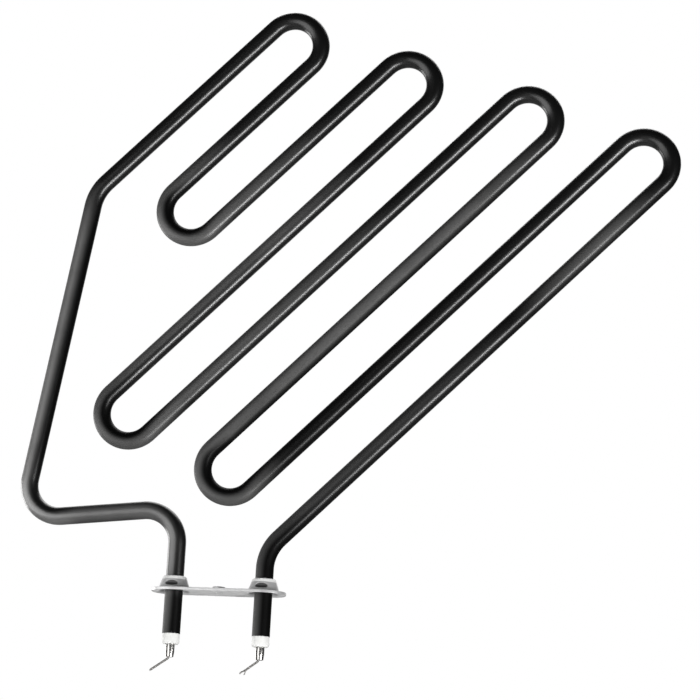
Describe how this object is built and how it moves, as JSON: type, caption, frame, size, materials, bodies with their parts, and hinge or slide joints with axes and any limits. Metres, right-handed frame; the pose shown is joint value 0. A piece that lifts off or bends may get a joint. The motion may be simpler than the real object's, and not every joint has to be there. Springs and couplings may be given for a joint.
{
  "type": "tubular heating element",
  "caption": "Flat tubular heating element: a black steel tube bent into slanted rows, both legs crimped in one mounting plate.",
  "frame": {"origin": "centre of the mounting plate's underside, on the axis of its threaded hole", "axes": "+Z from the plate towards the rows, +X along the plate in the direction that the rows climb, +Y square to the flat of the element, away from the viewer"},
  "size_m": [0.3297, 0.0226, 0.3463],
  "materials": {
    "black_sheath": "satin black, heat-blackened steel with soft sheen and faint rubbing",
    "magnesia": "pressed white powder, matte",
    "resistance_wire": "wound wire in white powder, dull grey",
    "zinc_sheet": "zinc-plated sheet, bright grey, half matte",
    "pin_steel": "drawn steel pin",
    "seal_resin": "cured sealing compound, matte",
    "white_ceramic": "unglazed white ceramic, matte",
    "nickel_sleeve": "nickel-plated, bright",
    "lead_wire": "tinned stranded wire, dull"
  },
  "bodies": {
    "root": {"sheath_tube": "black_sheath", "insulation_core": "magnesia", "resistance_coil": "resistance_wire", "mounting_plate": "zinc_sheet", "terminal_pin_left": "pin_steel", "terminal_pin_right": "pin_steel", "end_seal_left": "seal_resin", "end_seal_right": "seal_resin", "ceramic_bush_left": "white_ceramic", "ceramic_bush_right": "white_ceramic", "crimp_sleeve_left": "nickel_sleeve", "crimp_sleeve_right": "nickel_sleeve", "lead_stub_left": "lead_wire", "lead_stub_right": "lead_wire"}
  },
  "joints": []
}
